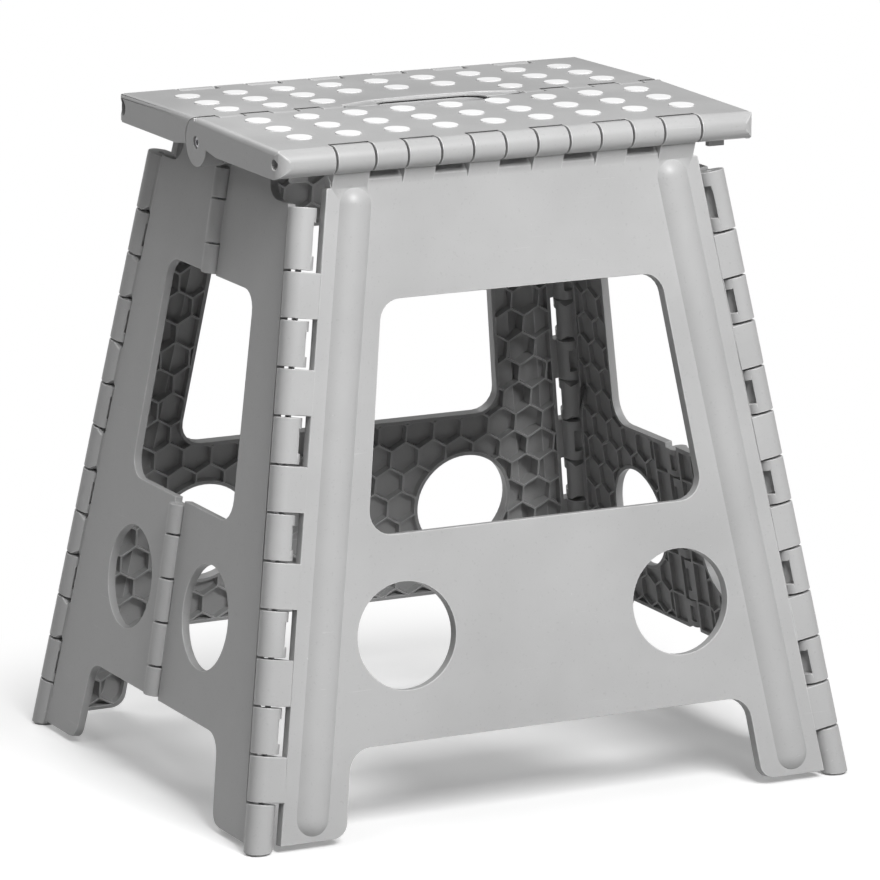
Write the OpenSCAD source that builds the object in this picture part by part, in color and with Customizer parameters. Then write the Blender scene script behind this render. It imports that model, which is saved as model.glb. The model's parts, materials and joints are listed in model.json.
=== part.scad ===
// Folding step stool of moulded plastic panels.
// Millimetres, +Z up, +X to the right, the front faces -Y.
// The origin is on the floor, under the middle of the seat.
// The stool is drawn open. Each leaning panel is drawn flat, as u across, v up and w outward,
// with w = 0 in the plane of the corner hinge lines, and is then leaned into place.

/* [Overall] */
// Height to the top of the grip dots
stool_h = 390; // [360:1:420]
// Half depth at the floor, to the outside of the corner hinges
front_foot = 161.2; // [150:0.2:172]
// Half width at the floor, to the outside of the corner hinges
side_foot = 193.4; // [180:0.2:206]
// Lean of the front and back panels, in degrees
front_lean = 9; // [7:0.1:10]
// Lean of the side panels, in degrees
side_lean = 9; // [7:0.1:10]

/* [Corner hinges] */
// Radius of a corner knuckle
corner_r = 8.1; // [7.5:0.1:8.6]
// Height of the lowest knuckle above the floor, along the hinge
corner_lift = 1.4; // [1:0.1:3]
// Length of the highest corner knuckle
corner_top_len = 35.5; // [30:0.5:38]
// Gap between a knuckle and the plate edge that it turns in
corner_gap = 2.1; // [1.5:0.1:3]
// Gap between the ends of neighbouring knuckles
knuckle_gap = 1.2; // [0.8:0.1:1.6]
// Radius of a corner or side hinge rod
rod_r = 1.75; // [1.5:0.05:2.2]
// Running clearance of a rod in its bore
run_clear = 0.06; // [0.04:0.01:0.1]
// Width of the hollow in the inward side of a corner knuckle
hollow_w = 8; // [5:0.1:9]
// How far the side panels' hollows are turned away from their plate, in degrees
hollow_turn = 28; // [15:1:35]
// Wall between that hollow and the rod's bore
hollow_wall = 1.6; // [1.2:0.1:2]
// Depth of the V notches at the roots of the side panels' corner knuckles
root_notch = 3; // [2:0.1:3.6]
// Extra room round the rod in the open right back corner hinge
corner_slack = 1.3; // [1:0.1:2]

/* [Front and back panels] */
// Thickness of the front and back panels
front_t = 6.9; // [5:0.1:7]
// Half width of the window at its top
front_win_top = 88.5; // [70:0.5:92]
// Half width of the window at its bottom
front_win_bottom = 107; // [90:0.5:110]
// Distance of the round holes from the middle
front_hole_u = 87.4; // [80:0.2:95]
// Radius of the round holes
front_hole_r = 30.6; // [24:0.2:32]
// Half width of the foot arch under its round corners
front_arch_top = 127; // [115:0.5:130]
// Half width of the foot arch near the floor
front_arch_bottom = 133.5; // [125:0.5:137]
// Width of a raised ridge
ridge_w = 19.6; // [16:0.1:22]
// Height of a raised ridge
ridge_h = 4.2; // [2:0.1:5]
// Distance of the ridge from the corner hinge line
ridge_inset = 28.6; // [27:0.1:32]

/* [Side panels] */
// Thickness of the side panels
side_t = 4.9; // [3.5:0.1:5]
// How far the side panels lie inside the outside of the corner hinges
side_inset = 3.9; // [3.5:0.1:5]
// Half width of the window at its top
side_win_top = 58.5; // [50:0.5:62]
// Half width of the window at its bottom
side_win_bottom = 71; // [60:0.5:75]
// Distance of the round holes from the fold line
side_hole_u = 53.5; // [46:0.2:56]
// Radius of the round holes
side_hole_r = 30.4; // [24:0.2:31]
// Half width of the foot arch under its round corners
side_arch_top = 90; // [80:0.5:94]
// Half width of the foot arch near the floor
side_arch_bottom = 99; // [92:0.5:102]
// Half width of the neck that reaches up under the seat
neck_w = 60; // [50:0.5:64]
// Radius of a knuckle of the side fold
mid_r = 5.6; // [5:0.1:6]
// Gap between a side fold knuckle and the other half
mid_gap = 0.8; // [0.5:0.1:1.2]
// Length of a middle knuckle of the side fold
mid_len = 26; // [22:0.5:28]
// Length of an end knuckle of the side fold
mid_end_len = 18.2; // [16:0.2:19]
// Distance of the fold line outside the side panels
mid_offset = 0.3; // [0.2:0.1:0.5]

/* [Heights] */
// Underside of the leaning panels
foot_z = 3.2; // [3:0.1:5]
// Top of the foot arches
arch_z = 51.5; // [45:0.5:58]
// Middle of the round holes
hole_z = 110.8; // [105:0.2:116]
// Bottom of the windows
win_bottom_z = 168; // [160:1:176]
// Depth of the windows' top below the top of the stool
win_drop = 92; // [90:1:105]
// Depth of the side panels' shoulders below the top of the stool
shoulder_drop = 37.4; // [36:0.2:44]
// Depth of the top of the side panels' necks below the top of the stool
neck_drop = 23; // [22:0.5:28]
// Depth of the top of the front and back plates below the top of the stool
plate_drop = 28; // [26:0.5:32]

/* [Seat] */
// How far the seat reaches past the side panels' lean line at the top
seat_reach = 19.37; // [14:0.01:24]
// How far the seat's outer hinge lines lie outside the front panel's lean line at the top
seat_hinge_out = 6.07; // [4:0.01:8]
// Radius of the seat's rolled front and back edges
edge_r = 8.1; // [7.5:0.1:8.5]
// Thickness of the seat's skin
seat_skin = 2.2; // [1.8:0.1:3]
// How much the seat falls from its middle to its edges
crown = 1.8; // [1:0.1:2.4]
// Depth of the end skirts below the top of the seat
skirt_drop = 18.6; // [17:0.1:19.5]
// Thickness of the end skirts
skirt_t = 2.6; // [2:0.1:3.5]
// Radius of the seat's middle knuckles
boss_r = 14; // [13:0.1:14.2]
// Radius of the middle hinge pins
pin_r = 3; // [2.5:0.1:3.5]
// Radius of the dimple in the end of a pin
pin_dimple_r = 1.6; // [1:0.1:2]
// Radius of the seat's outer hinge rods
seat_rod_r = 2; // [1.7:0.05:2.4]
// Gap round the middle knuckles
boss_gap = 0.7; // [0.5:0.1:1]
// Gap round the front panel's seat knuckles
edge_gap = 1; // [0.8:0.1:1.4]
// Extra room round the rod and knuckles of the open back hinge
seat_slack = 3.2; // [3:0.1:3.6]
// Half length of the hand slot
slot_x = 35; // [30:0.5:40]
// Half width of the hand slot
slot_y = 13.5; // [12:0.5:16]
// Radius along the seat's upper end edges
seat_end_r = 4; // [3:0.1:5]
// Half length of the zone without middle knuckles
grip_x = 57; // [52:0.5:60]

/* [Grip dots] */
// Diameter of a dot
dot_d = 14.6; // [12:0.2:16]
// Distance between dots in a row
dot_pitch = 30.4; // [28:0.2:32]
// How far the dots stand proud
dot_proud = 0.5; // [0.3:0.1:0.8]
// How deep the dots are let in
dot_sink = 0.9; // [0.5:0.1:1.2]

/* [Ribs] */
// Distance between the ribs of the honeycomb
comb_pitch = 18.6; // [17:0.2:24]
// Thickness of a rib
rib_t = 1.3; // [1.1:0.1:2]
// Thickness of the skin behind the honeycomb
skin_t = 2.1; // [1.6:0.1:2.6]
// Width of the boxed strip of ribs beside the side folds
strip_w = 14; // [12:0.5:18]
// Width of the rims round edges and openings
rim_t = 2.3; // [2:0.1:4]

/* [Feet] */
// Radius of a foot plug
plug_r = 6.8; // [6:0.1:7.5]
// Radius of a foot plug's stem
stem_r = 3; // [2.5:0.1:3.5]
// Length of a foot plug's stem
stem_len = 6; // [4:0.5:7]

/* [Hidden] */
$fn = 64;

// One overrun serves every cut
over = 2;
// How far parts of one piece run into each other
merge = 0.6;
panel_colour = [0.74, 0.74, 0.74];
side_colour = [0.62, 0.62, 0.62];
seat_colour = [0.7, 0.7, 0.7];
dot_colour = [0.97, 0.97, 0.97];
steel_colour = [0.55, 0.55, 0.57];

// Corner hinge lines
front_slope = tan(front_lean);
side_slope = tan(side_lean);
front_line = front_foot - corner_r / cos(front_lean);
side_line = side_foot - corner_r / cos(side_lean);
front_edge_angle = atan(side_slope * cos(front_lean));
side_edge_angle = atan(front_slope * cos(side_lean));
line_stretch = norm([front_slope, side_slope, 1]);
notch = corner_r + corner_gap;

// Heights and reaches that follow the top of the stool
win_top_z = stool_h - win_drop;
shoulder_z = stool_h - shoulder_drop;
neck_z = stool_h - neck_drop;
plate_z = stool_h - plate_drop;
seat_x = side_foot - stool_h * side_slope + seat_reach;
seat_y = front_foot - stool_h * front_slope + seat_hinge_out;

// Corner hinges: places of the knuckles, counted up from 0
corner_places = 12;
corner_top = shoulder_z * line_stretch;
corner_pitch = (corner_top - corner_top_len - corner_lift) / corner_places;
rod_end_inset = 3;

// Panel skins, as w from the plane of the corner hinge lines
front_out = corner_r;
front_in = front_out - front_t;
side_out = corner_r - side_inset;
side_in = side_out - side_t;
mid_w = side_out + mid_offset;
mid_edge = mid_r + mid_gap;

// Heights turned into distances up a leaning panel
function up_front(z) = z / cos(front_lean);
function up_side(z) = z / cos(side_lean);
function front_edge_u(v, inset) = side_line - v * tan(front_edge_angle) - inset / cos(front_edge_angle);
function side_edge_u(v, inset) = front_line - v * tan(side_edge_angle) - inset / cos(side_edge_angle);

// Seat hinge lines
surface_z = stool_h - dot_proud;
edge_line_z = surface_z - crown - edge_r;
boss_line_z = surface_z - boss_r;
crown_slope = crown / seat_y;
skirt_z = surface_z - skirt_drop;
hinge_out = seat_y - (front_line - edge_line_z * front_slope);
hinge_w = hinge_out * cos(front_lean);
hinge_v = up_front(edge_line_z) - hinge_out * sin(front_lean);

// Ends of the knuckles along half of the seat's outer edges, as shares of its half width
edge_end_shares = [0.0665, 0.202, 0.334, 0.4715, 0.605, 0.7635];
// Ends of the middle knuckles on each side, as shares of the seat's half width
boss_end_shares = [0.385, 0.475, 0.575, 0.685, 0.8, 0.908, 1];
// Rows of dots on each half, as shares of the half depth, from the middle outward
dot_row_shares = [0.204, 0.465, 0.725];
dots_per_row = 9;
// Dots of the innermost back row that the hand dish leaves out
dish_skips = [3, 4, 5];

// Length of a knuckle's hollow, as a share of the knuckle
hollow_share = 0.54;

// Corner radii of openings and outlines
win_round = 13;
arch_round = 14;
toe_round = 9;
shoulder_round = 12;
outline_round = 3;
seat_round = 9;
boss_clear = 2.4;
ledge = 4.6;
counterbore_r = 3.7;
counterbore_depth = 2.2;
rod_mouth_r = 3;
rod_mouth_depth = 9;
tab_w = 10.5;
tab_drop = 4.4;
tab_t = 4;
tab_x_share = 0.875;
tab_y_share = 0.945;

// Points of an arc that rounds the corner at b, between a and c
arc_steps = 6;
function unit(p) = p / norm(p);
function corner_arc(a, b, c, r) =
    let (ua = unit(a - b), uc = unit(c - b))
    let (half = acos(max(-1, min(1, ua * uc))) / 2)
    let (centre = b + unit(ua + uc) * r / sin(half))
    let (from = b + ua * r / tan(half) - centre, to = b + uc * r / tan(half) - centre)
    let (start = atan2(from[1], from[0]), turn = atan2(to[1], to[0]) - start)
    let (sweep = turn > 180 ? turn - 360 : turn < -180 ? turn + 360 : turn)
    [for (i = [0:arc_steps]) centre + r * [cos(start + sweep * i / arc_steps), sin(start + sweep * i / arc_steps)]];
// Points and radii go in as [x, y, r]
function rounded(pts) =
    let (n = len(pts))
    [for (i = [0:n - 1])
        let (a = pts[(i + n - 1) % n], b = pts[i], c = pts[(i + 1) % n])
        each b[2] > 0 ? corner_arc([a[0], a[1]], [b[0], b[1]], [c[0], c[1]], b[2]) : [[b[0], b[1]]]];
function mirrored(pts) = concat(pts, [for (i = [len(pts) - 1:-1:0]) [-pts[i][0], pts[i][1], pts[i][2]]]);
function turned(pts, side) = [for (p = pts) [p[0] * side, p[1], p[2]]];

// Placing a flat panel
module on_front() {
    translate([0, -front_line, 0])
        rotate([90 - front_lean, 0, 0])
            children();
}
module on_back() {
    rotate([0, 0, 180])
        on_front()
            children();
}
module on_left() {
    rotate([0, 0, -90])
        translate([0, -side_line, 0])
            rotate([90 - side_lean, 0, 0])
                children();
}
module on_right() {
    rotate([0, 0, 180])
        on_left()
            children();
}
// Corner hinge frame of a flat panel: y runs up the hinge line, the plate lies toward -side * x
module at_line(line, angle, side) {
    translate([side * line, 0, 0])
        rotate([0, 0, side * angle])
            children();
}
// Turns a round shape to lie along y, with its seam line on the inward side
module lay_along_y() {
    rotate([-90, 0, 0])
        rotate(90)
            children();
}
module along_y(from, to, r) {
    translate([0, from, 0])
        lay_along_y()
            cylinder(h = to - from, r = r);
}
module along_x(from, to, r) {
    translate([from, 0, 0])
        rotate([0, 90, 0])
            cylinder(h = to - from, r = r);
}

// Corner knuckles: even places belong to the side panels, odd ones to the front and back
// The lowest knuckle runs on past the level cut of the foot
function corner_from(k) = k == 0 ? -over : corner_lift + k * corner_pitch + knuckle_gap / 2;
function web_from(k) = k == 0 ? up_side(foot_z) : corner_from(k);
function corner_to(k) = k == corner_places ? corner_top : corner_lift + (k + 1) * corner_pitch - knuckle_gap / 2;
module corner_knuckles(side, first, w_in, w_out) {
    for (k = [first:2:corner_places]) {
        along_y(corner_from(k), corner_to(k), corner_r);
        translate([side > 0 ? -notch - merge : 0, web_from(k), w_in])
            cube([notch + merge, corner_to(k) - web_from(k), w_out - w_in]);
    }
}
// Hollows in the inward side of the knuckles
module corner_hollows(side, first, turn) {
    depth_to = rod_r + run_clear + hollow_wall;
    for (k = [first:2:corner_places])
        if (k > 0) {
            long = (corner_to(k) - corner_from(k)) * hollow_share;
            rotate([0, -side * turn, 0])
                translate([-hollow_w / 2, (corner_from(k) + corner_to(k) - long) / 2, -corner_r - over])
                    cube([hollow_w, long, corner_r + over - depth_to]);
        }
}
// V notches at both ends of the side panels' knuckles, where these meet the plate
root_u = corner_r - root_notch / 2;
module root_notches(side) {
    for (k = [2:2:corner_places])
        for (end = k == corner_places ? [corner_from(k)] : [corner_from(k), corner_to(k)])
            translate([-side * root_u, end, -corner_r - over])
                linear_extrude(2 * (corner_r + over))
                    rotate(45)
                        square(root_notch * sqrt(2), center = true);
}

// Honeycomb pockets over a field, as a flat pattern
comb_rise = comb_pitch * sqrt(3) / 2;
cell_r = (comb_pitch - rib_t) / sqrt(3);
module comb_cells(u_from, u_to, v_from, v_to) {
    rows = ceil((v_to - v_from) / comb_rise);
    columns = ceil((u_to - u_from) / comb_pitch);
    for (j = [0:rows])
        for (i = [0:columns])
            translate([u_from + (i + (j % 2) / 2) * comb_pitch, v_from + j * comb_rise])
                rotate(90)
                    circle(r = cell_r, $fn = 6);
}

// Front and back panels
module front_outline(inset) {
    low = up_front(foot_z) + inset;
    high = up_front(plate_z) - inset;
    polygon(rounded(mirrored([
        [front_arch_top + inset, up_front(arch_z) + inset, arch_round],
        [front_arch_bottom + inset, low, toe_round],
        [front_edge_u(low, notch + inset), low, 0],
        [front_edge_u(high, notch + inset), high, 0]])));
}
module front_window(grow) {
    low = up_front(win_bottom_z) - grow;
    high = up_front(win_top_z) + grow;
    polygon(rounded([
        [front_win_bottom + grow, low, win_round + grow],
        [front_win_top + grow, high, win_round + grow],
        [-front_win_top - grow, high, win_round + grow],
        [-front_win_bottom - grow, low, win_round + grow]]));
}
module front_holes(grow) {
    for (side = [-1, 1])
        translate([side * front_hole_u, up_front(hole_z)])
            circle(r = front_hole_r + grow);
}
ridge_r = (ridge_w * ridge_w / 4 + ridge_h * ridge_h) / (2 * ridge_h);
ridge_from = corner_lift + ridge_w;
ridge_to = corner_top + ridge_w / 6;
module ridge_bar(side, r) {
    at_line(side_line, front_edge_angle, side)
        translate([-side * ridge_inset, 0, front_out + ridge_h - ridge_r]) {
            along_y(ridge_from, ridge_to, r);
            translate([0, ridge_from, 0])
                lay_along_y()
                    sphere(r = r);
            translate([0, ridge_to, 0])
                lay_along_y()
                    sphere(r = r);
        }
}
module front_pockets() {
    intersection() {
        difference() {
            front_outline(rim_t);
            front_window(rim_t);
            front_holes(rim_t);
        }
        comb_cells(-side_line, side_line, 0, up_front(plate_z));
    }
}
module front_plate() {
    difference() {
        translate([0, 0, front_in])
            linear_extrude(front_t)
                difference() {
                    front_outline(0);
                    front_window(0);
                    front_holes(0);
                }
        translate([0, 0, front_in - over])
            linear_extrude(front_t - skin_t + over)
                front_pockets();
    }
}
// Ridges stand on the outer face and are hollow behind, between the ribs
module front_ridges() {
    for (side = [-1, 1])
        intersection() {
            ridge_bar(side, ridge_r);
            translate([-side_line, 0, front_out - skin_t])
                cube([2 * side_line, up_front(stool_h), ridge_h + skin_t + over]);
        }
}
module ridge_channels() {
    intersection() {
        for (side = [-1, 1])
            ridge_bar(side, ridge_r - skin_t);
        translate([0, 0, front_in])
            linear_extrude(front_t + ridge_h)
                front_pockets();
    }
}
// Seat hinge along the top edge: a rail, then the knuckles on it
rail_from = up_front(plate_z) - merge;
rail_end = edge_end_shares[5] * seat_x;
module rail_profile() {
    polygon([
        [front_in, rail_from],
        [front_out, rail_from],
        [front_out, hinge_v - edge_r - ledge],
        [(front_in + front_out) / 2, hinge_v - edge_r],
        [front_in, hinge_v - edge_r]]);
}
module hinge_web_profile() {
    polygon([
        [front_in, rail_from],
        [front_out, rail_from],
        [hinge_w, hinge_v - edge_r - merge],
        [hinge_w, hinge_v],
        [hinge_w - edge_r, hinge_v],
        [front_in, hinge_v - edge_r / 2]]);
}
// Extrudes a profile drawn as w across and v up, between two places along u
module extrude_u(from, to) {
    translate([from, 0, 0])
        rotate([90, 0, 90])
            linear_extrude(to - from)
                mirrored_axes()
                    children();
}
module mirrored_axes() {
    mirror([1, -1, 0])
        children();
}
module front_rail() {
    extrude_u(-rail_end, rail_end)
        rail_profile();
    for (side = [-1, 1])
        for (k = [0, 2, 4]) {
            a = edge_end_shares[k] * seat_x + knuckle_gap / 2;
            b = edge_end_shares[k + 1] * seat_x - knuckle_gap / 2;
            extrude_u(min(side * a, side * b), max(side * a, side * b))
                hinge_web_profile();
            translate([0, hinge_v, hinge_w])
                along_x(min(side * a, side * b), max(side * a, side * b), edge_r);
        }
}
module upright_panel() {
    difference() {
        union() {
            front_plate();
            front_ridges();
            front_rail();
            for (side = [-1, 1])
                at_line(side_line, front_edge_angle, side)
                    corner_knuckles(side, 1, front_in, front_out);
        }
        ridge_channels();
        for (side = [-1, 1])
            at_line(side_line, front_edge_angle, side) {
                along_y(0, corner_top + over, rod_r + run_clear);
                corner_hollows(side, 1, 0);
            }
        translate([0, hinge_v, hinge_w])
            along_x(-seat_x, seat_x, seat_rod_r + run_clear);
    }
}
module front_panel() {
    color(panel_colour)
        on_front()
            upright_panel();
}
module back_panel() {
    color(panel_colour)
        on_back()
            upright_panel();
}

// Half side panels, drawn toward +u or -u of the fold line
module half_outline(side, inset) {
    low = up_side(foot_z) + inset;
    shoulder = up_side(shoulder_z) - inset;
    high = up_side(neck_z) - inset;
    polygon(rounded(turned([
        [mid_edge + inset, up_side(arch_z) + inset, 0],
        [side_arch_top + inset, up_side(arch_z) + inset, arch_round],
        [side_arch_bottom + inset, low, toe_round],
        [side_edge_u(low, notch + inset), low, 0],
        [side_edge_u(shoulder, notch + inset), shoulder, 0],
        [neck_w - inset, shoulder, shoulder_round],
        [neck_w - inset, high, outline_round],
        [mid_edge + inset, high, 0]], side)));
}
module half_window(side, grow) {
    low = up_side(win_bottom_z) - grow;
    high = up_side(win_top_z) + grow;
    polygon(rounded(turned([
        [-over, low, 0],
        [side_win_bottom + grow, low, win_round + grow],
        [side_win_top + grow, high, win_round + grow],
        [-over, high, 0]], side)));
}
module half_hole(side, grow) {
    translate([side * side_hole_u, up_side(hole_z)])
        circle(r = side_hole_r + grow);
}
boss_reach = boss_r + boss_clear;
module boss_room(grow) {
    translate([0, up_side(boss_line_z)])
        circle(r = boss_reach + grow);
}
module half_plate(side) {
    difference() {
        translate([0, 0, side_in])
            linear_extrude(side_t)
                difference() {
                    half_outline(side, 0);
                    half_window(side, 0);
                    half_hole(side, 0);
                    boss_room(0);
                }
        translate([0, 0, side_in - over])
            linear_extrude(side_t - skin_t + over)
                half_pockets(side);
    }
}
strip_end = mid_edge + rim_t + strip_w;
module half_pockets(side) {
    intersection() {
        difference() {
            half_outline(side, rim_t);
            half_window(side, rim_t);
            half_hole(side, rim_t);
            boss_room(rim_t);
        }
        mirror([side > 0 ? 0 : 1, 0]) {
            difference() {
                comb_cells(0, front_line, 0, up_side(neck_z));
                square([strip_end + rib_t, up_side(neck_z)]);
            }
            for (group = mid_groups)
                for (i = [0:group[1]])
                    translate([0, mid_start(group[0], i) + rib_t / 2])
                        square([strip_end, mid_length(i, group[1]) - rib_t]);
        }
    }
}
// Side fold knuckles: even places belong to the back halves, odd ones to the front halves
lower_from = up_side(arch_z) + knuckle_gap;
upper_from = up_side(win_top_z);
mid_groups = [[lower_from, 4], [upper_from, 2]];
function mid_start(base, i) = base + (i == 0 ? 0 : mid_end_len + (i - 1) * mid_len);
function mid_length(i, last) = i == 0 || i == last ? mid_end_len : mid_len;
module mid_knuckles(side, parity) {
    for (group = mid_groups)
        for (i = [parity:2:group[1]]) {
            from = mid_start(group[0], i) + knuckle_gap / 2;
            to = mid_start(group[0], i) + mid_length(i, group[1]) - knuckle_gap / 2;
            translate([0, 0, mid_w])
                along_y(from, to, mid_r);
            translate([side > 0 ? 0 : -mid_edge - merge, from, side_in])
                cube([mid_edge + merge, to - from, side_t]);
        }
}
// Hollows in the inward side of the fold knuckles
module mid_hollows(parity) {
    for (group = mid_groups)
        for (i = [parity:2:group[1]]) {
            long = mid_length(i, group[1]) * hollow_share;
            translate([-mid_r / 2, mid_start(group[0], i) + (mid_length(i, group[1]) - long) / 2, mid_w - mid_r - over])
                cube([mid_r, long, mid_r + over - rod_r - run_clear - hollow_wall]);
        }
}
module half_panel(side, parity, bore_extra) {
    difference() {
        union() {
            half_plate(side);
            mid_knuckles(side, parity);
            at_line(front_line, side_edge_angle, side)
                corner_knuckles(side, 0, side_in, side_out);
        }
        at_line(front_line, side_edge_angle, side) {
            along_y(0, corner_top + over, rod_r + run_clear + bore_extra);
            root_notches(side);
            corner_hollows(side, 0, hollow_turn);
        }
        translate([0, 0, mid_w])
            along_y(0, up_side(neck_z), rod_r + run_clear);
        mid_hollows(parity);
    }
}
// The foot of a half panel is cut level and bored for its plug
plug_z = 1.2;
module level_foot(sx, sy) {
    difference() {
        children();
        translate([-side_foot - over, -side_foot - over, plug_z - corner_pitch])
            cube([2 * (side_foot + over), 2 * (side_foot + over), corner_pitch]);
        at_foot(sx, sy)
            cylinder(h = plug_z + stem_len + run_clear, r = stem_r + run_clear);
    }
}
foot_x = side_line - plug_z * side_slope;
foot_y = front_line - plug_z * front_slope;
module at_foot(sx, sy) {
    translate([sx * foot_x, sy * foot_y, 0])
        children();
}
module left_front_panel() {
    color(side_colour)
        level_foot(-1, -1)
            on_left()
                half_panel(1, 1, 0);
}
module left_back_panel() {
    color(side_colour)
        level_foot(-1, 1)
            on_left()
                half_panel(-1, 0, 0);
}
module right_front_panel() {
    color(side_colour)
        level_foot(1, -1)
            on_right()
                half_panel(-1, 1, 0);
}
module right_back_panel() {
    color(side_colour)
        level_foot(1, 1)
            on_right()
                half_panel(1, 0, corner_slack);
}

// Seat halves, drawn as the front half; the back half is turned round
module at_edge_line() {
    translate([0, -seat_y, edge_line_z])
        children();
}
module at_boss_line() {
    translate([0, 0, boss_line_z])
        children();
}
// Section across the seat: y across, z up
module seat_section() {
    polygon([
        [-seat_y, surface_z - crown],
        [0, surface_z],
        [0, surface_z - seat_skin],
        [-seat_y + edge_r, surface_z - crown - seat_skin],
        [-seat_y + edge_r / 2, edge_line_z],
        [-seat_y, edge_line_z]]);
}
module skirt_section(drop) {
    polygon([
        [-seat_y, surface_z - crown],
        [0, surface_z],
        [0, boss_line_z],
        [-boss_r, boss_line_z - boss_clear],
        [-2 * boss_r, surface_z - drop],
        [-seat_y, surface_z - drop]]);
}
module extrude_x(from, to) {
    translate([from, 0, 0])
        rotate([90, 0, 90])
            linear_extrude(to - from)
                children();
}
comb_z = surface_z - crown - seat_skin;
comb_drop = 5.4;
seat_front_rim = seat_y - 2 * edge_r;
seat_back_rim = boss_r + boss_gap + rim_t;
module seat_ribs() {
    translate([0, 0, comb_z - comb_drop])
        linear_extrude(comb_drop + merge)
            difference() {
                translate([-seat_x + skirt_t / 2, -seat_front_rim - rim_t])
                    square([2 * seat_x - skirt_t, seat_front_rim + rim_t - seat_back_rim + rim_t]);
                intersection() {
                    translate([-seat_x + skirt_t, -seat_front_rim])
                        square([2 * (seat_x - skirt_t), seat_front_rim - seat_back_rim]);
                    comb_cells(-seat_x, seat_x, -seat_y, 0);
                }
            }
}
module seat_plan() {
    polygon(rounded(mirrored([
        [seat_x, 0, 0],
        [seat_x, -seat_y - edge_r, seat_round]])));
}
// How far outside the seat's faces the arc of its end rounding begins
end_ease = 0.05;
// Takes the upper end edges off to a radius, along the fall of the seat
module end_rounding() {
    translate([0, 0, surface_z])
        rotate([90 + atan(crown_slope), 0, 0])
            translate([0, 0, -over])
                linear_extrude(seat_y + edge_r + 2 * over)
                    for (side = [0, 1])
                        mirror([side, 0])
                            polygon(concat(
                                [[seat_x - seat_end_r, over], [seat_x + over, over], [seat_x + over, -seat_end_r]],
                                corner_arc(
                                    [seat_x + end_ease, -stool_h],
                                    [seat_x + end_ease, end_ease],
                                    [0, end_ease],
                                    seat_end_r)));
}
// Dish and slot for the hand
dish_end = 5;
dish_depth = 1;
slot_lip = 7;
slot_round_share = 0.9;
module dish_plan() {
    polygon(rounded(mirrored([
        [grip_x, over, 0],
        [grip_x, -dish_end, dish_end / 2],
        [slot_x, -slot_y, slot_y],
        [0, -slot_y - dish_end / 2, 0]])));
}
module slot_plan() {
    polygon(rounded(mirrored([
        [slot_x, over, 0],
        [slot_x, -slot_y, slot_y * slot_round_share]])));
}
module slot_rim_plan() {
    polygon(rounded(mirrored([
        [slot_x + rim_t, 0, 0],
        [slot_x + rim_t, -slot_y - rim_t, slot_y]])));
}
function boss_a(k) = boss_end_shares[k] * seat_x;
// Middle knuckles: places 1, 3 and 5 belong to the front half, 0, 2 and 4 to the back half
module middle_knuckles(parity, r, play) {
    for (side = [-1, 1])
        for (k = [parity:2:5]) {
            a = boss_a(k) + (play ? -1 : 1) * knuckle_gap / 2;
            b = k == 5 ? seat_x + (play ? over : 0) : boss_a(k + 1) - (play ? -1 : 1) * knuckle_gap / 2;
            at_boss_line()
                along_x(min(side * a, side * b), max(side * a, side * b), r);
        }
}
module edge_knuckle_room(extra) {
    for (side = [-1, 1])
        for (k = [0, 2, 4]) {
            a = edge_end_shares[k] * seat_x - knuckle_gap / 2;
            b = edge_end_shares[k + 1] * seat_x + knuckle_gap / 2;
            at_edge_line()
                along_x(min(side * a, side * b), max(side * a, side * b), edge_r + edge_gap + extra);
        }
}
seam = 0.3;
module seat_half(parity, slack) {
    difference() {
        union() {
            difference() {
                intersection() {
                    union() {
                        extrude_x(-seat_x, seat_x)
                            seat_section();
                        for (side = [0, 1])
                            mirror([side, 0, 0])
                                extrude_x(seat_x - skirt_t, seat_x)
                                    skirt_section(skirt_drop);
                        at_edge_line()
                            along_x(-seat_x, seat_x, edge_r);
                        seat_ribs();
                        translate([0, 0, comb_z - slot_lip])
                            linear_extrude(slot_lip + merge)
                                slot_rim_plan();
                    }
                    linear_extrude(stool_h)
                        seat_plan();
                }
                edge_knuckle_room(slack);
                middle_knuckles(1 - parity, boss_r + boss_gap, true);
                translate([-seat_x - over, -seam, 0])
                    cube([2 * (seat_x + over), seam + over, stool_h]);
            }
            middle_knuckles(parity, boss_r, false);
            for (side = [-1, 1])
                translate([side * tab_x_share * seat_x - tab_w / 2, -tab_y_share * seat_y, edge_line_z - edge_r - tab_drop])
                    cube([tab_w, tab_t, tab_drop + edge_r]);
        }
        end_rounding();
        translate([0, 0, surface_z - dish_depth])
            linear_extrude(dish_depth + over)
                dish_plan();
        translate([0, 0, boss_line_z])
            linear_extrude(boss_r + over)
                slot_plan();
        at_edge_line() {
            along_x(-seat_x - over, seat_x + over, seat_rod_r + run_clear + slack);
            for (side = [0, 1])
                mirror([side, 0, 0])
                    along_x(seat_x - rod_mouth_depth, seat_x + over, max(rod_mouth_r, seat_rod_r + run_clear + slack));
        }
        at_boss_line() {
            along_x(-seat_x - over, seat_x + over, pin_r + run_clear);
            for (side = [0, 1])
                mirror([side, 0, 0])
                    along_x(seat_x - counterbore_depth, seat_x + over, counterbore_r);
        }
        dot_cuts(parity);
    }
}
// Dots, as flat discs let into the sloping skin
function dot_y(row) = dot_row_shares[row] * seat_y;
module each_dot(parity) {
    for (row = [0:2])
        for (i = [0:dots_per_row - 1])
            if (!(parity == 0 && row == 0 && len(search(i, dish_skips)) > 0))
                translate([(i - (dots_per_row - 1) / 2) * dot_pitch, -dot_y(row), surface_z - crown_slope * dot_y(row)])
                    rotate([atan(crown_slope), 0, 0])
                        children();
}
module dot_cuts(parity) {
    each_dot(parity)
        translate([0, 0, -dot_sink])
            cylinder(h = dot_sink + over, r = dot_d / 2);
}
module dots(parity) {
    each_dot(parity)
        translate([0, 0, -dot_sink])
            cylinder(h = dot_sink + dot_proud, r = dot_d / 2);
}
module seat_front() {
    color(seat_colour)
        seat_half(1, 0);
}
module seat_back() {
    color(seat_colour)
        rotate([0, 0, 180])
            seat_half(0, seat_slack);
}
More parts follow.
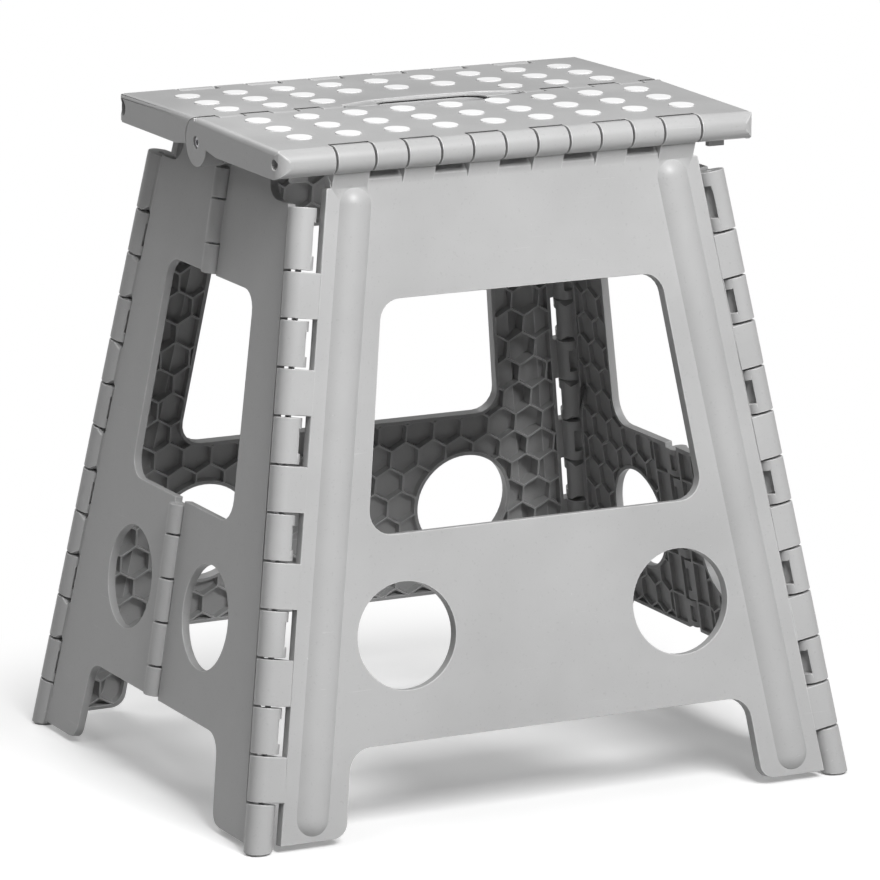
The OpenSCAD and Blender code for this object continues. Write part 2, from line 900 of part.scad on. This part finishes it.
module front_dots() {
    color(dot_colour)
        dots(1);
}
module back_dots() {
    color(dot_colour)
        rotate([0, 0, 180])
            dots(0);
}

// Rods and pins
module seat_rod() {
    at_edge_line()
        along_x(-rail_end - rod_mouth_depth, rail_end + rod_mouth_depth, seat_rod_r);
}
module seat_front_rod() {
    color(steel_colour)
        seat_rod();
}
module seat_back_rod() {
    color(steel_colour)
        rotate([0, 0, 180])
            seat_rod();
}
module seat_pin(side) {
    a = boss_a(0) - knuckle_gap;
    b = seat_x - counterbore_depth / 2;
    at_boss_line()
        mirror([side > 0 ? 0 : 1, 0, 0])
            difference() {
                along_x(a, b, pin_r);
                along_x(b - pin_dimple_r, b + over, pin_dimple_r);
            }
}
module seat_left_pin() {
    color(steel_colour)
        seat_pin(-1);
}
module seat_right_pin() {
    color(steel_colour)
        seat_pin(1);
}
rod_from = corner_lift + plug_z + stem_len + rod_end_inset;
module corner_rod(side) {
    at_line(side_line, front_edge_angle, side)
        along_y(rod_from, corner_top - rod_end_inset, rod_r);
}
module left_front_rod() {
    color(steel_colour)
        on_front()
            corner_rod(-1);
}
module right_front_rod() {
    color(steel_colour)
        on_front()
            corner_rod(1);
}
module left_back_rod() {
    color(steel_colour)
        on_back()
            corner_rod(1);
}
module right_back_rod() {
    color(steel_colour)
        on_back()
            corner_rod(-1);
}
module mid_rod(base, last) {
    from = base + rod_end_inset;
    to = mid_start(base, last) + mid_end_len - rod_end_inset;
    translate([0, 0, mid_w])
        along_y(from, to, rod_r);
}
module left_upper_rod() {
    color(steel_colour)
        on_left()
            mid_rod(upper_from, 2);
}
module left_lower_rod() {
    color(steel_colour)
        on_left()
            mid_rod(lower_from, 4);
}
module right_upper_rod() {
    color(steel_colour)
        on_right()
            mid_rod(upper_from, 2);
}
module right_lower_rod() {
    color(steel_colour)
        on_right()
            mid_rod(lower_from, 4);
}

// Foot plugs
module plug(sx, sy) {
    color(dot_colour)
        at_foot(sx, sy) {
            cylinder(h = plug_z, r = plug_r);
            cylinder(h = plug_z + stem_len, r = stem_r);
        }
}
module left_front_plug() {
    plug(-1, -1);
}
module left_back_plug() {
    plug(-1, 1);
}
module right_front_plug() {
    plug(1, -1);
}
module right_back_plug() {
    plug(1, 1);
}

front_panel();
back_panel();
left_front_panel();
left_back_panel();
right_front_panel();
right_back_panel();
seat_front();
seat_back();
seat_front_rod();
seat_back_rod();
seat_left_pin();
seat_right_pin();
left_front_rod();
left_back_rod();
right_front_rod();
right_back_rod();
left_upper_rod();
left_lower_rod();
right_upper_rod();
right_lower_rod();
left_front_plug();
left_back_plug();
right_front_plug();
right_back_plug();
front_dots();
back_dots();
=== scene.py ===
import json
import math

import bmesh
import bpy
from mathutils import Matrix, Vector
from mathutils.bvhtree import BVHTree

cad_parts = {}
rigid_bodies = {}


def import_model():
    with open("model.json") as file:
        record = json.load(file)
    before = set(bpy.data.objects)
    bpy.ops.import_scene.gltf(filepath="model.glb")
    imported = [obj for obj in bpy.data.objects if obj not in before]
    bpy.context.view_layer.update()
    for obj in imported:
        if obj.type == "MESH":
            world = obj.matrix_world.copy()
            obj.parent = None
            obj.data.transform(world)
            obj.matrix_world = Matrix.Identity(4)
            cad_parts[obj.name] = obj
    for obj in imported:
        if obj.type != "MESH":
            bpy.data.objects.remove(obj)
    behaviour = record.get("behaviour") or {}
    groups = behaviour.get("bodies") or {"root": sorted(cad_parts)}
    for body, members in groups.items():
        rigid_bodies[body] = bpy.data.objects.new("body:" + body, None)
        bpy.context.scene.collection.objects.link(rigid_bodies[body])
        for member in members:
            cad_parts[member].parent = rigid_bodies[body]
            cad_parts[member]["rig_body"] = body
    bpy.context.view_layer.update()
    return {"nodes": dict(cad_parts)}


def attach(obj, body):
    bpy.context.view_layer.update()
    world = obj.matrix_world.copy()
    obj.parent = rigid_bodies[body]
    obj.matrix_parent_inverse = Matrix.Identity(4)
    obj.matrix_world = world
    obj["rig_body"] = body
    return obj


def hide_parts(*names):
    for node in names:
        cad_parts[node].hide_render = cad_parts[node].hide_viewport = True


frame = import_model()
MM = 0.001

# Camera, in front of the left corner and a little above the seat
LENS = 247.51
SENSOR = 36
CLIP = (0.1, 60)
EYE = (-1.5328, -3.1004, 0.9753)
YAW = math.radians(25.59)
PITCH = math.radians(12.75)
# Where the middle of the frame lies beside that direction, as a share of the distance
ASIDE = 0.013275
BELOW = 0.001666

# Edges of the mouldings: the angles that are rounded, how far, and how strong their painted highlight is
WELD = 0.003 * MM
FLAT = math.radians(0.15)
SHARP = math.radians(28)
STILL_SHARP = math.radians(31)
CREASE = math.radians(38)
OUTER_ROUND = 0.6 * MM
RIB_ROUND = 0.3 * MM
OUTER_HIGHLIGHT = 0.6
RIB_HIGHLIGHT = 1.0
FARTHEST_FROM_CAD = 0.65 * MM
FACES_INWARD = -0.5
SPILL = 1.02
SPILL_AREA = 1 * MM * MM

# Skin of the mould: spots to a metre, and depths in metres
GRAIN_SPOTS = 1500.0
WAVE_SPOTS = 24.0
CLOUD_SPOTS = 11.0
SPECK_SPOTS = 620.0
HIGHLIGHT_PATCH_SPOTS = 90.0
SCUFF_SPOTS = 14.0
GRAIN_DEPTH = 0.0002
WAVE_DEPTH = 0.004
SPECK_DARKNESS = 0.14

# Plastic and steel
GREY_DEEP = (0.50, 0.50, 0.50)
GREY_PALE = (0.55, 0.55, 0.55)
# The lightest grey is a painted highlight on the rounded edges, and also the colour of the scratches
GREY_HIGHLIGHT_AND_SCRATCH = (0.80, 0.80, 0.80)
STEEL_DEEP = (0.42, 0.42, 0.44)
STEEL_PALE = (0.62, 0.62, 0.63)
PLASTIC_SPECULAR = 0.45

# Floor: a patch that keeps the shadow, centred and sized by a mapping, fades into plain white
FLOOR_HALF = 14
FLOOR_WHITE = 0.88
FLOOR_GLOW = 0.24
FLOOR_BOUNCE = 0.33
PATCH_SHIFT = (0.09, 0.57, 0)
PATCH_STRETCH = (3.0, 2.86, 1)
FADE_STARTS, FADE_ENDS = 0.95, 1.6
ROOM_LIGHT = 0.02

# The lamps aim at this point above the middle of the floor
LAMP_AIM = Vector((0, 0, 0.2))


def studio_camera():
    lens = bpy.data.cameras.new("studio_camera")
    lens.sensor_width = SENSOR
    lens.lens = LENS
    lens.clip_start, lens.clip_end = CLIP
    eye = bpy.data.objects.new("studio_camera", lens)
    bpy.context.scene.collection.objects.link(eye)
    ahead = Vector((math.sin(YAW) * math.cos(PITCH), math.cos(YAW) * math.cos(PITCH), -math.sin(PITCH)))
    right = Vector((math.cos(YAW), -math.sin(YAW), 0))
    aim = ahead + right * ASIDE - right.cross(ahead) * BELOW
    eye.location = EYE
    eye.rotation_euler = aim.to_track_quat("-Z", "Y").to_euler()
    bpy.context.scene.camera = eye


studio_camera()


# Short ways to place and join nodes

def wire(tree, kind, place=(0, 0), **settings):
    made = tree.nodes.new(kind)
    made.location = place
    for key, value in settings.items():
        setattr(made, key, value)
    return made


def span(tree, source, low, high, to_low=0.0, to_high=1.0, place=(0, 0), kind="LINEAR"):
    made = wire(tree, "ShaderNodeMapRange", place, interpolation_type=kind)
    tree.links.new(source, made.inputs["Value"])
    for key, value in (("From Min", low), ("From Max", high), ("To Min", to_low), ("To Max", to_high)):
        made.inputs[key].default_value = value
    return made.outputs["Result"]


def speckle(tree, coordinates, scale, detail=2.0, rough=0.5, place=(0, 0)):
    made = wire(tree, "ShaderNodeTexNoise", place)
    made.inputs["Scale"].default_value = scale
    made.inputs["Detail"].default_value = detail
    made.inputs["Roughness"].default_value = rough
    tree.links.new(coordinates, made.inputs["Vector"])
    return made.outputs["Fac"]


def sums(tree, kind, a, b, place=(0, 0), clamp=False):
    made = wire(tree, "ShaderNodeMath", place, operation=kind, use_clamp=clamp)
    for source, socket in ((a, made.inputs[0]), (b, made.inputs[1])):
        if isinstance(source, (int, float)):
            socket.default_value = source
        else:
            tree.links.new(source, socket)
    return made.outputs[0]


def blended(tree, factor, a, b, place=(0, 0), kind="MIX"):
    made = wire(tree, "ShaderNodeMix", place, data_type="RGBA", blend_type=kind)
    for source, socket in ((factor, made.inputs[0]), (a, made.inputs[6]), (b, made.inputs[7])):
        if hasattr(source, "is_linked"):
            tree.links.new(source, socket)
        elif isinstance(source, (int, float)):
            socket.default_value = source
        else:
            socket.default_value = (*source, 1.0)
    return made.outputs[2]


def effect(name, inputs, outputs):
    """A node group with its named float inputs and its outputs."""
    g = bpy.data.node_groups.new(name, "ShaderNodeTree")
    for key, value in inputs.items():
        g.interface.new_socket(key, in_out="INPUT", socket_type="NodeSocketFloat").default_value = value
    for key, kind in outputs.items():
        g.interface.new_socket(key, in_out="OUTPUT", socket_type="NodeSocket" + kind)
    start, end = wire(g, "NodeGroupInput", (-1200, 0)), wire(g, "NodeGroupOutput", (900, 0))
    at = wire(g, "ShaderNodeTexCoord", (-1200, -300)).outputs["Object"]
    return g, start, end, at


# Effects that several finishes share

def mould_grain():
    """Fine eroded grain of the mould, slow waviness of the wall and cloudy tone."""
    g, start, end, at = effect("mould_grain", {"Grain": 0.12, "Wave": 0.05},
                               {"Normal": "Vector", "Cloud": "Float", "Speck": "Float"})
    fine = speckle(g, at, GRAIN_SPOTS, 3.0, 0.6, (-800, 300))
    slow = speckle(g, at, WAVE_SPOTS, 2.0, 0.5, (-800, 100))
    cloud = speckle(g, at, CLOUD_SPOTS, 4.0, 0.55, (-800, -100))
    speck = speckle(g, at, SPECK_SPOTS, 1.0, 0.5, (-800, -300))
    wave = wire(g, "ShaderNodeBump", (-300, 100))
    wave.inputs["Distance"].default_value = WAVE_DEPTH
    g.links.new(start.outputs["Wave"], wave.inputs["Strength"])
    g.links.new(slow, wave.inputs["Height"])
    skin = wire(g, "ShaderNodeBump", (0, 200))
    skin.inputs["Distance"].default_value = GRAIN_DEPTH
    g.links.new(start.outputs["Grain"], skin.inputs["Strength"])
    g.links.new(fine, skin.inputs["Height"])
    g.links.new(wave.outputs["Normal"], skin.inputs["Normal"])
    g.links.new(skin.outputs["Normal"], end.inputs["Normal"])
    g.links.new(cloud, end.inputs["Cloud"])
    g.links.new(span(g, speck, 0.66, 0.74, place=(0, -300)), end.inputs["Speck"])
    return g


def painted_sheen_on_edges():
    """Painted highlight on the rounded edges, broken up in patches."""
    g, start, end, at = effect("painted_sheen_on_edges", {"Reach": 0.7}, {"Highlight": "Float"})
    edge = wire(g, "ShaderNodeAttribute", (-800, 0), attribute_name="rounded_edge").outputs["Fac"]
    patches = speckle(g, at, HIGHLIGHT_PATCH_SPOTS, 5.0, 0.65, (-800, -300))
    broken = span(g, patches, 0.35, 0.62, 0.25, 1.0, (-400, -200))
    # Painted highlight: the marked bevel faces, broken into patches
    patchy_highlight = sums(g, "MULTIPLY", edge, broken, (-100, 0))
    g.links.new(sums(g, "MULTIPLY", patchy_highlight, start.outputs["Reach"], (200, 0), clamp=True), end.inputs["Highlight"])
    return g


def scuffs():
    """Short fine scratches in two directions, thin and sparse."""
    g, start, end, at = effect("scuffs", {"Amount": 0.5}, {"Scuff": "Float"})
    both = None
    for turn, stretch in ((0.5, (30.0, 700.0, 700.0)), (-0.9, (640.0, 26.0, 640.0))):
        lay = wire(g, "ShaderNodeMapping", (-900, turn * 300))
        lay.inputs["Rotation"].default_value = (turn, turn * 0.6, turn)
        lay.inputs["Scale"].default_value = stretch
        g.links.new(at, lay.inputs["Vector"])
        streaks = speckle(g, lay.outputs["Vector"], 1.0, 2.0, 0.5, (-600, turn * 300))
        line = span(g, streaks, 0.70, 0.78, place=(-300, turn * 300))
        both = line if both is None else sums(g, "MAXIMUM", both, line, (0, 0))
    patches = speckle(g, at, SCUFF_SPOTS, 2.0, 0.5, (-600, -600))
    where = span(g, patches, 0.48, 0.66, place=(-300, -600))
    sparse = sums(g, "MULTIPLY", both, where, (200, -100))
    g.links.new(sums(g, "MULTIPLY", sparse, start.outputs["Amount"], (400, -100)), end.inputs["Scuff"])
    return g


MOULD_GRAIN = mould_grain()
PAINTED_SHEEN_ON_EDGES = painted_sheen_on_edges()
SCUFFS = scuffs()


def placed(tree, group, place, **values):
    made = wire(tree, "ShaderNodeGroup", place, node_tree=group)
    for key, value in values.items():
        made.inputs[key].default_value = value
    return made


def moulded_plastic(name, deep, pale, edge, rough=0.37, grain=0.12, wave=0.10, scuff=0.35):
    """Satin moulded plastic: cloudy tone, specks, painted highlights on rounded edges, fine scratches."""
    m = bpy.data.materials.new(name)
    m.use_nodes = True
    t = m.node_tree
    skin = t.nodes["Principled BSDF"]
    mould = placed(t, MOULD_GRAIN, (-1200, 100), Grain=grain, Wave=wave)
    edge_highlight = placed(t, PAINTED_SHEEN_ON_EDGES, (-1200, -150), Reach=0.8).outputs["Highlight"]
    scratch = placed(t, SCUFFS, (-1200, -350), Amount=scuff).outputs["Scuff"]
    tone = span(t, mould.outputs["Cloud"], 0.35, 0.65, place=(-950, 100))
    body = blended(t, tone, deep, pale, (-800, 100))
    dark = sums(t, "MULTIPLY", mould.outputs["Speck"], SPECK_DARKNESS, (-800, -50))
    specked = blended(t, dark, body, deep, (-600, 100), "MULTIPLY")
    lined = blended(t, scratch, specked, edge, (-450, 100))
    # Painted highlight: the rounded edges are blended towards the pale edge colour
    t.links.new(blended(t, edge_highlight, lined, edge, (-250, 100)), skin.inputs["Base Color"])
    uneven = span(t, mould.outputs["Cloud"], 0.3, 0.7, rough - 0.03, rough + 0.05, (-450, -150))
    smoother_at_edges = sums(t, "SUBTRACT", uneven, sums(t, "MULTIPLY", edge_highlight, 0.10, (-450, -300)), (-250, -200))
    dulled = sums(t, "ADD", smoother_at_edges, sums(t, "MULTIPLY", scratch, 0.25, (-250, -350)), (-100, -200))
    t.links.new(dulled, skin.inputs["Roughness"])
    t.links.new(mould.outputs["Normal"], skin.inputs["Normal"])
    skin.inputs["Specular IOR Level"].default_value = PLASTIC_SPECULAR
    return m


def drawn_steel():
    """Steel rod with the fine lengthwise lines of drawing."""
    m = bpy.data.materials.new("drawn_steel")
    m.use_nodes = True
    t = m.node_tree
    skin = t.nodes["Principled BSDF"]
    at = wire(t, "ShaderNodeTexCoord", (-900, 0)).outputs["Object"]
    lay = wire(t, "ShaderNodeMapping", (-700, 0))
    lay.inputs["Scale"].default_value = (900.0, 900.0, 40.0)
    t.links.new(at, lay.inputs["Vector"])
    streak = speckle(t, lay.outputs["Vector"], 1.0, 3.0, 0.5, (-500, 0))
    t.links.new(blended(t, streak, STEEL_DEEP, STEEL_PALE, (-250, 100)), skin.inputs["Base Color"])
    t.links.new(span(t, streak, 0.3, 0.7, 0.28, 0.42, (-250, -150)), skin.inputs["Roughness"])
    skin.inputs["Metallic"].default_value = 1.0
    return m


PANEL_GREY = moulded_plastic("panel_grey", GREY_DEEP, GREY_PALE, GREY_HIGHLIGHT_AND_SCRATCH)
SEAT_GREY = moulded_plastic("seat_grey", GREY_DEEP, GREY_PALE, GREY_HIGHLIGHT_AND_SCRATCH, rough=0.36, grain=0.16)
# The third colour of each finish is its painted highlight on rounded edges and the colour of its scratches
GRIP_WHITE = moulded_plastic("grip_white", (0.92, 0.92, 0.92), (0.96, 0.96, 0.96), (0.97, 0.97, 0.97),
                             rough=0.55, grain=0.25, wave=0.02, scuff=0.1)
FOOT_WHITE = moulded_plastic("foot_white", (0.62, 0.62, 0.61), (0.72, 0.72, 0.71), (0.78, 0.78, 0.77),
                             rough=0.6, grain=0.25, wave=0.02, scuff=0.2)
ROD_STEEL = drawn_steel()


# Moulded pieces, with their edges rounded as the mould leaves them

def spills(face):
    """True where the plain fill of a face would reach past its outline."""
    trial = bmesh.new()
    copy = trial.faces.new([trial.verts.new(v.co) for v in face.verts])
    copy.normal_update()
    true_area = copy.calc_area()
    bmesh.ops.triangulate(trial, faces=[copy])
    filled = sum(f.calc_area() for f in trial.faces)
    trial.free()
    return filled > true_area * SPILL + SPILL_AREA


def rounded(bm, edges, width, mark, edge_highlight):
    """Bevels the edges and marks the new faces with the strength of their painted highlight."""
    made = bmesh.ops.bevel(bm, geom=edges, offset=width, offset_type="OFFSET", segments=2, profile=0.5,
                           affect="EDGES", clamp_overlap=False, loop_slide=False, material=-1)
    for f in made["faces"]:
        f[mark] = edge_highlight


def soften(node, material, outward):
    """Copies a moulding, rounds its outer edges well and its ribs slightly."""
    source = frame["nodes"][node]
    outward = Vector(outward)
    bm = bmesh.new()
    bm.from_mesh(source.data)
    bmesh.ops.remove_doubles(bm, verts=bm.verts, dist=WELD)
    moulded = BVHTree.FromBMesh(bm)
    bmesh.ops.dissolve_limit(bm, angle_limit=FLAT, use_dissolve_boundaries=False,
                             verts=bm.verts, edges=bm.edges, delimit=set())
    # The faces of each bevel are marked for the painted edge highlight
    mark = bm.faces.layers.float.new("rounded_edge")
    rib = bm.edges.layers.int.new("rib_edge")
    bm.normal_update()
    outer = []
    for e in bm.edges:
        if e.is_manifold and e.is_convex and e.calc_face_angle(0) > SHARP:
            if min(f.normal.dot(outward) for f in e.link_faces) < FACES_INWARD:
                e[rib] = 1
            else:
                outer.append(e)
    rounded(bm, outer, OUTER_ROUND, mark, OUTER_HIGHLIGHT)
    ribs = [e for e in bm.edges if e[rib] and e.is_manifold and e.is_convex
            and e.calc_face_angle(0) > STILL_SHARP]
    rounded(bm, ribs, RIB_ROUND, mark, RIB_HIGHLIGHT)
    bm.edges.layers.int.remove(bm.edges.layers.int["rib_edge"])
    for v in bm.verts:
        nearest, _, _, gap = moulded.find_nearest(v.co)
        if gap > FARTHEST_FROM_CAD:
            v.co = nearest
    bm.normal_update()
    for f in [f for f in bm.faces if len(f.verts) > 4 and spills(f)]:
        outline, facing = f.edges[:], f.normal.copy()
        bmesh.ops.delete(bm, geom=[f], context="FACES_ONLY")
        bmesh.ops.triangle_fill(bm, edges=outline, use_beauty=True, use_dissolve=False, normal=facing)
    for f in bm.faces:
        f.smooth = True
    for e in bm.edges:
        e.smooth = e.calc_face_angle(0) < CREASE
    mesh = bpy.data.meshes.new(node + "_moulding")
    bm.to_mesh(mesh)
    bm.free()
    mesh.materials.append(material)
    piece = bpy.data.objects.new(node + "_moulding", mesh)
    bpy.context.scene.collection.objects.link(piece)
    piece.modifiers.new("flat_faces", "WEIGHTED_NORMAL").keep_sharp = True
    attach(piece, source["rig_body"])
    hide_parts(node)


for name, outward in (("front_panel", (0, -1, 0)), ("back_panel", (0, 1, 0)),
                      ("left_front_panel", (-1, 0, 0)), ("left_back_panel", (-1, 0, 0)),
                      ("right_front_panel", (1, 0, 0)), ("right_back_panel", (1, 0, 0))):
    soften(name, PANEL_GREY, outward)
for name in ("seat_front", "seat_back"):
    soften(name, SEAT_GREY, (0, 0, 1))

# Dots, plugs, rods and pins keep the part's own shapes
FINISH = {"_dots": GRIP_WHITE, "_plug": FOOT_WHITE, "_rod": ROD_STEEL, "_pin": ROD_STEEL}
for name, node in frame["nodes"].items():
    for ending, material in FINISH.items():
        if name.endswith(ending):
            node.data.materials.clear()
            node.data.materials.append(material)


# Studio: white floor that keeps the shadow, soft boxes, faint room light

def pale_floor():
    bm = bmesh.new()
    bmesh.ops.create_grid(bm, x_segments=1, y_segments=1, size=FLOOR_HALF)
    mesh = bpy.data.meshes.new("floor")
    bm.to_mesh(mesh)
    bm.free()
    floor = bpy.data.objects.new("floor", mesh)
    bpy.context.scene.collection.objects.link(floor)
    m = bpy.data.materials.new("studio_white")
    m.use_nodes = True
    t = m.node_tree
    seen_skin = t.nodes["Principled BSDF"]
    seen_skin.inputs["Base Color"].default_value = (FLOOR_WHITE, FLOOR_WHITE, FLOOR_WHITE, 1)
    seen_skin.inputs["Roughness"].default_value = 0.9
    seen_skin.inputs["Specular IOR Level"].default_value = 0.1
    glow = wire(t, "ShaderNodeEmission", (-100, -300))
    glow.inputs["Strength"].default_value = FLOOR_GLOW
    lit = wire(t, "ShaderNodeAddShader", (200, -100))
    t.links.new(seen_skin.outputs[0], lit.inputs[0])
    t.links.new(glow.outputs[0], lit.inputs[1])
    white = wire(t, "ShaderNodeEmission", (200, -300))
    lay = wire(t, "ShaderNodeMapping", (-700, -500))
    lay.inputs["Location"].default_value = PATCH_SHIFT
    lay.inputs["Scale"].default_value = PATCH_STRETCH
    t.links.new(wire(t, "ShaderNodeTexCoord", (-900, -500)).outputs["Object"], lay.inputs["Vector"])
    far = wire(t, "ShaderNodeVectorMath", (-500, -500), operation="LENGTH")
    t.links.new(lay.outputs["Vector"], far.inputs[0])
    fade = span(t, far.outputs["Value"], FADE_STARTS, FADE_ENDS, place=(-300, -500), kind="SMOOTHSTEP")
    shown = wire(t, "ShaderNodeMixShader", (450, -100))
    t.links.new(fade, shown.inputs[0])
    t.links.new(lit.outputs[0], shown.inputs[1])
    t.links.new(white.outputs[0], shown.inputs[2])
    bounce = wire(t, "ShaderNodeBsdfDiffuse", (450, 200))
    bounce.inputs["Color"].default_value = (FLOOR_BOUNCE, FLOOR_BOUNCE, FLOOR_BOUNCE, 1)
    path = wire(t, "ShaderNodeLightPath", (200, 400))
    camera, glossy = path.outputs["Is Camera Ray"], path.outputs["Is Glossy Ray"]
    looked = sums(t, "ADD", camera, glossy, (400, 400), clamp=True)
    both = wire(t, "ShaderNodeMixShader", (700, 0))
    t.links.new(looked, both.inputs[0])
    t.links.new(bounce.outputs[0], both.inputs[1])
    t.links.new(shown.outputs[0], both.inputs[2])
    t.links.new(both.outputs[0], t.nodes["Material Output"].inputs["Surface"])
    mesh.materials.append(m)


def soft_world():
    """White where it is seen, and faint where it lights."""
    w = bpy.data.worlds.new("soft_world")
    bpy.context.scene.world = w
    w.use_nodes = True
    t = w.node_tree
    sky = t.nodes["Background"]
    sky.inputs["Color"].default_value = (1, 1, 1, 1)
    path = wire(t, "ShaderNodeLightPath", (-700, 0))
    camera, through = path.outputs["Is Camera Ray"], path.outputs["Is Transmission Ray"]
    seen = sums(t, "ADD", camera, through, (-500, 0), clamp=True)
    t.links.new(span(t, seen, 0.0, 1.0, ROOM_LIGHT, 1.0, (-300, 0)), sky.inputs["Strength"])


def softbox(name, turn, height, distance, size, power):
    """A square lamp, turned to the right from straight ahead of the front panel, so many degrees up."""
    turn, height = math.radians(turn), math.radians(height)
    away = Vector((math.sin(turn) * math.cos(height), -math.cos(turn) * math.cos(height), math.sin(height)))
    lamp = bpy.data.lights.new(name, "AREA")
    lamp.shape = "RECTANGLE"
    lamp.size, lamp.size_y = size
    lamp.energy = power
    box = bpy.data.objects.new(name, lamp)
    bpy.context.scene.collection.objects.link(box)
    box.location = LAMP_AIM + away * distance
    box.rotation_euler = (-away).to_track_quat("-Z", "Y").to_euler()


pale_floor()
soft_world()
softbox("key_above_front", 3, 44, 2.6, (1.2, 1.2), 70)
softbox("left_fill", -75, 50, 2.2, (1.0, 1.0), 6)
softbox("back_top", 186, 54, 2.2, (1.4, 1.2), 18)
bpy.context.scene.view_settings.view_transform = "Standard"
